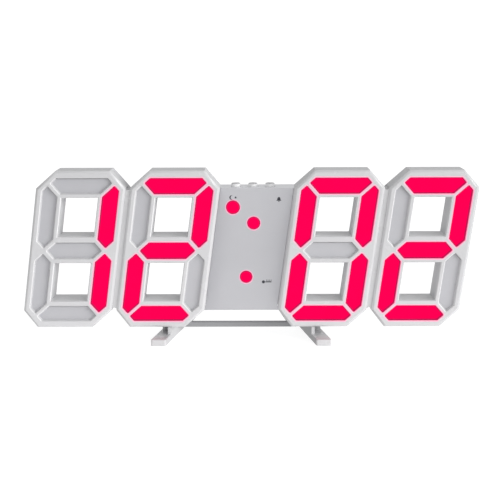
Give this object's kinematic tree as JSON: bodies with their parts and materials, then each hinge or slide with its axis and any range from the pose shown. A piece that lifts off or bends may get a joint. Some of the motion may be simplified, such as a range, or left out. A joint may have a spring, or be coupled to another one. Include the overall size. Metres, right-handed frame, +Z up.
{
  "type": "digital clock",
  "caption": "Free-standing digital clock with open seven-segment numerals, a set-back centre panel, top buttons and swing-out feet.",
  "frame": {"origin": "on the table, under the middle of the bounding box", "axes": "+X to the right seen from the front, +Y to the back, +Z up"},
  "size_m": [0.221, 0.04, 0.0847],
  "materials": {
    "white_shell": "fine moulded satin",
    "grey_panel": "satin",
    "rail_grey": "satin",
    "lit_red": "translucent, lit from behind",
    "dark_diffuser": "translucent, unlit",
    "light_board": "white solder mask",
    "green_board": "green solder mask",
    "led_package": "moulded",
    "black_plastic": "moulded",
    "steel": "zinc plated",
    "cell_steel": "polished",
    "contact_brass": "spring strip",
    "plunger_orange": "moulded",
    "pad_rubber": "soft",
    "washer_nylon": "moulded nylon",
    "ribbon_grey": "flat flexible",
    "chip_tan": "ceramic"
  },
  "bodies": {
    "clock_body": {"left_digit_shell": "white_shell", "right_digit_shell": "white_shell", "left_rear_cover": "white_shell", "right_rear_cover": "white_shell", "centre_housing": "grey_panel", "centre_rear_cover": "white_shell", "stand_rail": "rail_grey", "digit1_lit_segments": "lit_red", "digit2_lit_segments": "lit_red", "digit3_lit_segments": "lit_red", "digit4_lit_segments": "lit_red", "digit1_dark_segments": "dark_diffuser", "digit2_dark_segments": "dark_diffuser", "digit3_dark_segments": "dark_diffuser", "digit4_dark_segments": "dark_diffuser", "digit1_board": "light_board", "digit2_board": "light_board", "digit3_board": "light_board", "digit4_board": "light_board", "segment_leds": "led_package", "pm_lens": "lit_red", "colon_upper_lens": "lit_red", "colon_lower_lens": "lit_red", "control_board": "green_board", "indicator_leds": "led_package", "controller_chip": "black_plastic", "clock_crystal": "steel", "buzzer": "black_plastic", "battery_holder": "black_plastic", "coin_cell": "cell_steel", "battery_contact": "contact_brass", "usb_socket": "steel", "button_switches": "black_plastic", "pivot_screws": "steel", "pivot_washers": "washer_nylon", "cover_screws": "steel", "link_screws": "steel", "rail_screws": "steel", "centre_cover_screws": "steel", "board_screws": "steel", "left_ribbon_cable": "ribbon_grey", "right_ribbon_cable": "ribbon_grey", "left_board_header": "black_plastic", "right_board_header": "black_plastic", "smoothing_capacitor": "black_plastic", "chip_components": "chip_tan", "temperature_sensor": "black_plastic"},
    "left_foot_body": {"left_foot": "white_shell", "left_foot_pads": "pad_rubber"},
    "right_foot_body": {"right_foot": "white_shell", "right_foot_pads": "pad_rubber"},
    "left_button_body": {"left_button": "white_shell", "left_switch_plunger": "plunger_orange"},
    "middle_button_body": {"middle_button": "white_shell", "middle_switch_plunger": "plunger_orange"},
    "right_button_body": {"right_button": "white_shell", "right_switch_plunger": "plunger_orange"},
    "battery_door_body": {"battery_door": "white_shell"}
  },
  "joints": [
    {"name": "left_foot_fold", "type": "hinge", "parent": "clock_body", "child": "left_foot_body", "pos_m": [-0.04077, -0.0006, 0.005], "axis": [0, 0, 1], "range_deg": [-80, 0]},
    {"name": "right_foot_fold", "type": "hinge", "parent": "clock_body", "child": "right_foot_body", "pos_m": [0.03257, -0.0006, 0.005], "axis": [0, 0, 1], "range_deg": [0, 80]},
    {"name": "left_button_press", "type": "slide", "parent": "clock_body", "child": "left_button_body", "axis": [0, 0, -1], "range_m": [0, 0.0006], "stiffness_N_per_m": 1500},
    {"name": "middle_button_press", "type": "slide", "parent": "clock_body", "child": "middle_button_body", "axis": [0, 0, -1], "range_m": [0, 0.0006], "stiffness_N_per_m": 1500},
    {"name": "right_button_press", "type": "slide", "parent": "clock_body", "child": "right_button_body", "axis": [0, 0, -1], "range_m": [0, 0.0006], "stiffness_N_per_m": 1500},
    {"name": "battery_door_slide", "type": "slide", "parent": "clock_body", "child": "battery_door_body", "axis": [0, 0, -1], "range_m": [0, 0.012]}
  ]
}
